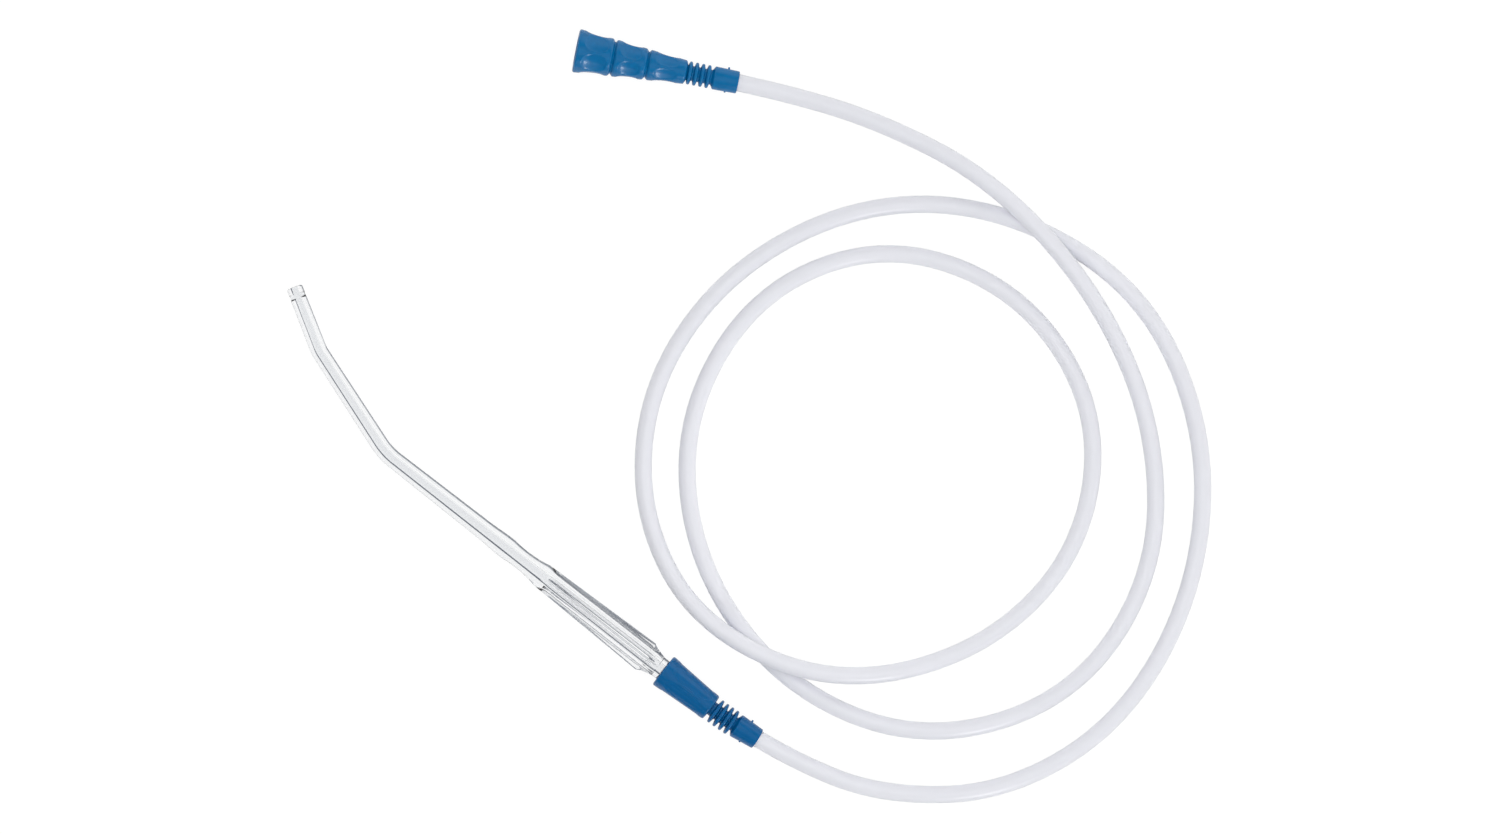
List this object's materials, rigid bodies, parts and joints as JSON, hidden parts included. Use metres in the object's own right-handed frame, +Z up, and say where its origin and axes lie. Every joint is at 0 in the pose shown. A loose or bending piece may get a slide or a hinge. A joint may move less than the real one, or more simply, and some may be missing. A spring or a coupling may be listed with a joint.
{
  "type": "yankauer suction tip",
  "caption": "Rigid clear suction tip with a bent shaft and finned grip, a soft blue connector, clear suction tube in loose loops and a stepped push-on connector at the far end.",
  "frame": {"origin": "centre of the footprint of the handle and its connector, at table level", "axes": "+X along the handle from its tip towards the tube, +Z up from the table"},
  "size_m": [0.444, 0.2945, 0.0249],
  "materials": {
    "clear_rigid": "clear moulded polystyrene, polished",
    "deep_blue_soft": "soft moulded PVC, satin",
    "clear_soft_tube": "soft extruded PVC, smooth and slightly hazy",
    "light_blue_soft": "soft moulded PVC, satin and slightly translucent"
  },
  "bodies": {
    "root": {"suction_handle": "clear_rigid", "handle_connector": "deep_blue_soft", "suction_tube": "clear_soft_tube", "source_connector": "light_blue_soft"}
  },
  "joints": []
}
